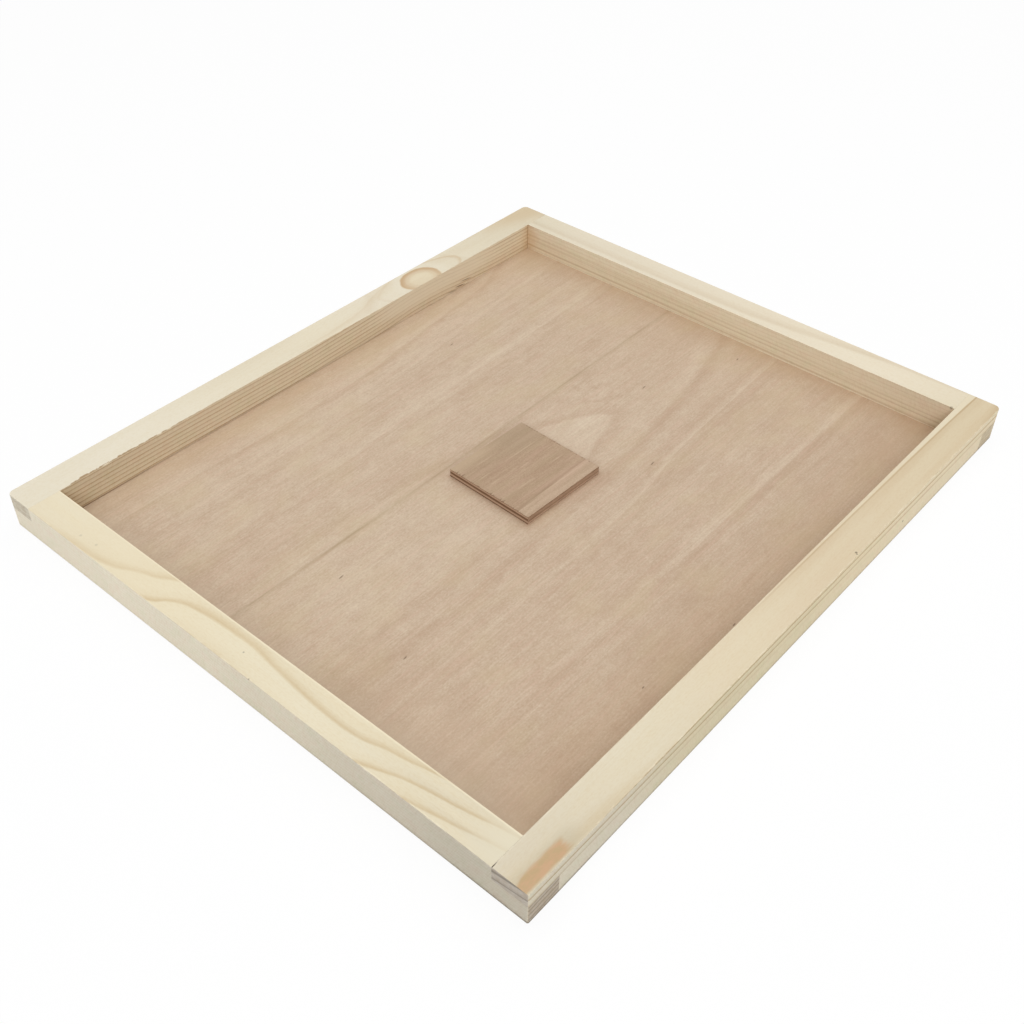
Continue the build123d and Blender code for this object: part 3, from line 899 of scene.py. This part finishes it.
def staple_wire():
    """Galvanised steel wire with faint draw marks."""
    g = Graph("staple_steel")
    scratch = g.noise((0.2, 0.2, 2.0), detail=3.0, seed=31.0)
    colour = g.mix(scratch, srgb(190, 190, 188), srgb(150, 150, 150))
    g.shader.inputs["Metallic"].default_value = 1.0
    return g.finish(colour, 0.35 + scratch * 0.2, scratch, 0.02)


def dress(node_name, material):
    """Puts a material on a solid in place of its plain one."""
    solid = bpy.data.objects[node_name]
    for slot in solid.material_slots:
        slot.material = material


wire = staple_wire()
dress("front_rail", front_wood)
dress("rear_rail", rear_wood)
dress("left_rail", left_wood)
dress("right_rail", right_wood)
dress("panel", panel_veneer())
dress("feed_hole_cover", cover_veneer())
dress("corner_staples", wire)
dress("panel_staples", wire)


def direct_rays(nodes, links):
    """1 for rays by which the white is seen: from the camera, reflected or through something clear."""
    ray = nodes.new("ShaderNodeLightPath")
    seen = ray.outputs["Is Camera Ray"]
    for kind in ("Is Glossy Ray", "Is Transmission Ray"):
        either = nodes.new("ShaderNodeMath")
        either.operation = "MAXIMUM"
        links.new(seen, either.inputs[0])
        links.new(ray.outputs[kind], either.inputs[1])
        seen = either.outputs[0]
    return seen


def white_when_seen(nodes, links, lit, white, share):
    """Blends the shader that light falls on with the white one that is seen, by the white's share."""
    part = nodes.new("ShaderNodeMath")
    part.operation = "MULTIPLY"
    part.inputs[1].default_value = share
    links.new(direct_rays(nodes, links), part.inputs[0])
    blend = nodes.new("ShaderNodeMixShader")
    links.new(part.outputs[0], blend.inputs[0])
    links.new(lit.outputs[0], blend.inputs[1])
    links.new(white.outputs[0], blend.inputs[2])
    return blend.outputs[0]


def lay_floor():
    """A white floor just below the object, which keeps its soft shadow. Lengths are in metres."""
    reach = 6.0
    level = -0.0004
    whiteness = 0.97
    glow_share = 0.9
    mesh = bpy.data.meshes.new("floor")
    corners = [(x * reach, y * reach, level) for x, y in ((-1, -1), (1, -1), (1, 1), (-1, 1))]
    mesh.from_pydata(corners, [], [(0, 1, 2, 3)])
    floor = bpy.data.objects.new("floor", mesh)
    bpy.context.scene.collection.objects.link(floor)
    material = bpy.data.materials.new("floor_white")
    material.use_nodes = True
    nodes, links = material.node_tree.nodes, material.node_tree.links
    nodes.clear()
    output = nodes.new("ShaderNodeOutputMaterial")
    paint = nodes.new("ShaderNodeBsdfDiffuse")
    paint.inputs["Color"].default_value = (whiteness, whiteness, whiteness, 1.0)
    glow = nodes.new("ShaderNodeEmission")
    links.new(white_when_seen(nodes, links, paint, glow, share=glow_share), output.inputs["Surface"])
    mesh.materials.append(material)


def light_world():
    """An even pale sky that the camera sees as white."""
    sky_grey = 0.8
    sky_strength = 0.465
    world = bpy.data.worlds.new("studio")
    world.use_nodes = True
    bpy.context.scene.world = world
    nodes, links = world.node_tree.nodes, world.node_tree.links
    nodes.clear()
    output = nodes.new("ShaderNodeOutputWorld")
    sky = nodes.new("ShaderNodeBackground")
    sky.inputs["Color"].default_value = (sky_grey, sky_grey, sky_grey, 1.0)
    sky.inputs["Strength"].default_value = sky_strength
    white = nodes.new("ShaderNodeBackground")
    white.inputs["Color"].default_value = (1.0, 1.0, 1.0, 1.0)
    links.new(white_when_seen(nodes, links, sky, white, share=1.0), output.inputs["Surface"])


def hang_lamp(name, place, side, power):
    """A square soft box that faces the middle of the object, in metres and watts."""
    middle = Vector((0.0, 0.0, 0.0))
    lamp = bpy.data.lights.new(name, "AREA")
    lamp.size = side
    lamp.energy = power
    holder = bpy.data.objects.new(name, lamp)
    holder.location = place
    holder.rotation_euler = (middle - Vector(place)).to_track_quat("-Z", "Y").to_euler()
    bpy.context.scene.collection.objects.link(holder)


def set_camera():
    """Stands the camera where the photograph was taken from, in metres, with its lens in millimetres."""
    lens = 44.29
    sensor_width = 36.0
    place = Vector((0.41428, -0.49635, 0.5432))
    target = Vector((0.03444, -0.0539, 0.025))
    roll = math.radians(0.527)
    camera = bpy.data.cameras.new("camera")
    camera.lens = lens
    camera.sensor_width = sensor_width
    holder = bpy.data.objects.new("camera", camera)
    turn = (target - place).to_track_quat("-Z", "Y").to_matrix() @ Matrix.Rotation(roll, 3, "Z")
    holder.matrix_world = Matrix.Translation(place) @ turn.to_4x4()
    bpy.context.scene.collection.objects.link(holder)
    bpy.context.scene.camera = holder


lay_floor()
light_world()
hang_lamp("overhead", place=(0.0, 0.0, 1.8), side=1.8, power=13.0)
hang_lamp("front_box", place=(2.2, -2.7, 2.9), side=2.2, power=78.0)
hang_lamp("rear_box", place=(-0.5, 2.8, 2.8), side=2.2, power=22.0)
set_camera()
bpy.context.scene.view_settings.view_transform = "Standard"
